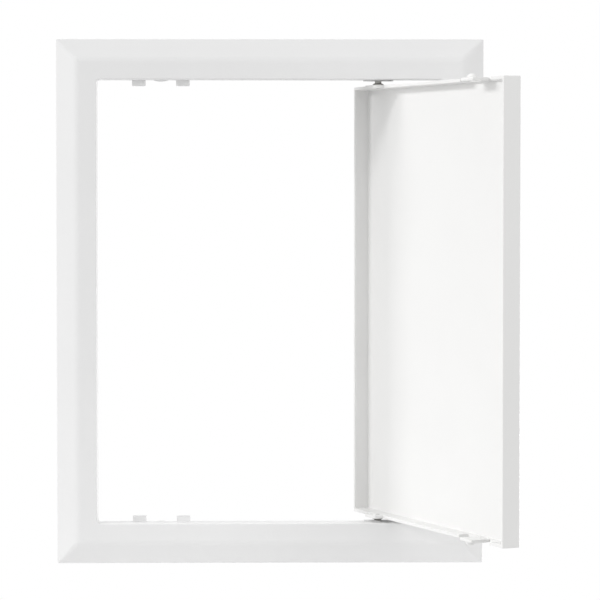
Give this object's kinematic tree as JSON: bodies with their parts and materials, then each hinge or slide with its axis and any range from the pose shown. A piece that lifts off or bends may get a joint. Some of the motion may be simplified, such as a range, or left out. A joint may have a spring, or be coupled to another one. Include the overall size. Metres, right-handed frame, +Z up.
{
  "type": "access panel",
  "caption": "Snap-shut plastic access panel: a bevelled frame with a collar for a wall or ceiling cut-out, and a tray door that swings on pins and latches with springy tongues.",
  "frame": {"origin": "centre of the cut-out, in the plane of the wall or ceiling that the back of the flange rests on", "axes": "+X to the right across the panel, +Y into the wall, +Z up; the front faces -Y and the door hinges on the right"},
  "size_m": [0.2256, 0.1625, 0.268],
  "materials": {
    "frame_plastic": "satin white moulding",
    "door_plastic": "satin white moulding",
    "pin_steel": "turned grey steel"
  },
  "bodies": {
    "frame": {"frame": "frame_plastic"},
    "door": {"door_tray": "door_plastic", "upper_hinge_pin": "pin_steel", "lower_hinge_pin": "pin_steel"},
    "upper_tongue": {"upper_latch_tongue": "door_plastic"},
    "lower_tongue": {"lower_latch_tongue": "door_plastic"}
  },
  "joints": [
    {"name": "door_hinge", "type": "hinge", "parent": "frame", "child": "door", "pos_m": [0.0554, 0.0031, 0], "axis": [0, 0, 1], "range_deg": [-112, 33]},
    {"name": "upper_tongue_flex", "type": "hinge", "parent": "door", "child": "upper_tongue", "pos_m": [0.10184, -0.09796, 0.1098], "axis": [0.3746, -0.9272, 0], "range_deg": [0, 8], "stiffness_Nm_per_rad": 0.6},
    {"name": "lower_tongue_flex", "type": "hinge", "parent": "door", "child": "lower_tongue", "pos_m": [0.10184, -0.09796, -0.1104], "axis": [-0.3746, 0.9272, 0], "range_deg": [0, 8], "stiffness_Nm_per_rad": 0.6}
  ]
}
